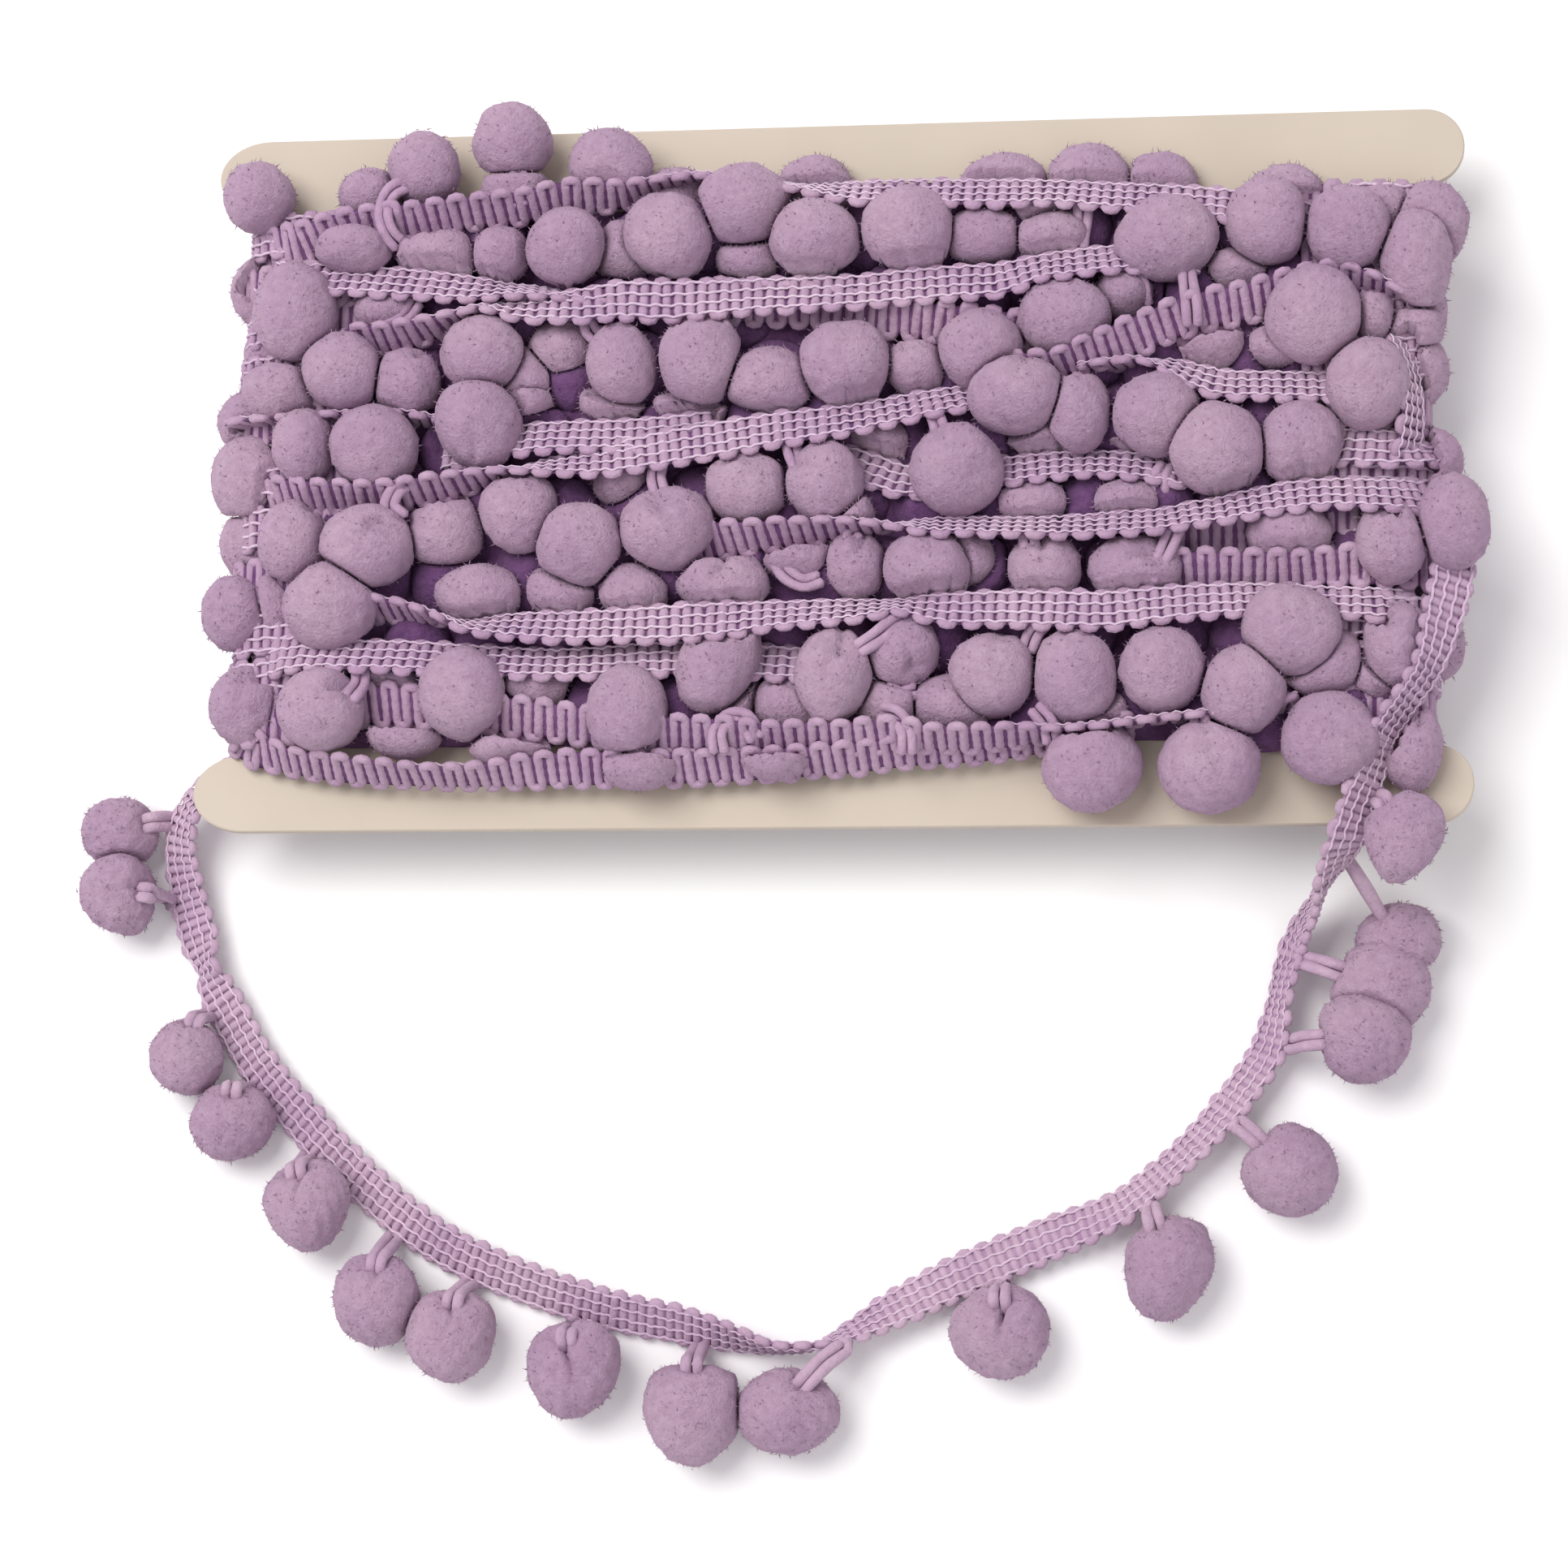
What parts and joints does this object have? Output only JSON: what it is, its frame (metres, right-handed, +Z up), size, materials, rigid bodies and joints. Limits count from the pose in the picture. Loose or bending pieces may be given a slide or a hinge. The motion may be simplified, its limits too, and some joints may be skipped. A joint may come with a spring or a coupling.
{
  "type": "pompom fringe trim wound on a card",
  "caption": "Braid trim with hanging pompoms, wound in uneven turns on a notched winding card, with one loose loop of trim lying beside the card.",
  "frame": {"origin": "on the plane the object rests on, under the middle of the winding card", "axes": "+X along the card's long side, +Y across the card away from the loose loop, +Z up from the surface"},
  "size_m": [0.1679, 0.16, 0.0257],
  "materials": {
    "card": "smooth cream winding card, matt",
    "wound_yarn": "mauve yarn, wound braid and pompoms",
    "braid_yarn": "mauve ribbed braid with light chain stitches",
    "pompom_pile": "mauve cut pile, dense and matt"
  },
  "bodies": {
    "root": {"winding_card": "card", "wound_trim": "wound_yarn", "loop_braid": "braid_yarn", "pompom_01": "pompom_pile", "pompom_02": "pompom_pile", "pompom_03": "pompom_pile", "pompom_04": "pompom_pile", "pompom_05": "pompom_pile", "pompom_06": "pompom_pile", "pompom_07": "pompom_pile", "pompom_08": "pompom_pile", "pompom_09": "pompom_pile", "pompom_10": "pompom_pile", "pompom_11": "pompom_pile", "pompom_12": "pompom_pile", "pompom_13": "pompom_pile", "pompom_14": "pompom_pile", "pompom_15": "pompom_pile", "pompom_16": "pompom_pile", "pompom_17": "pompom_pile"}
  },
  "joints": []
}
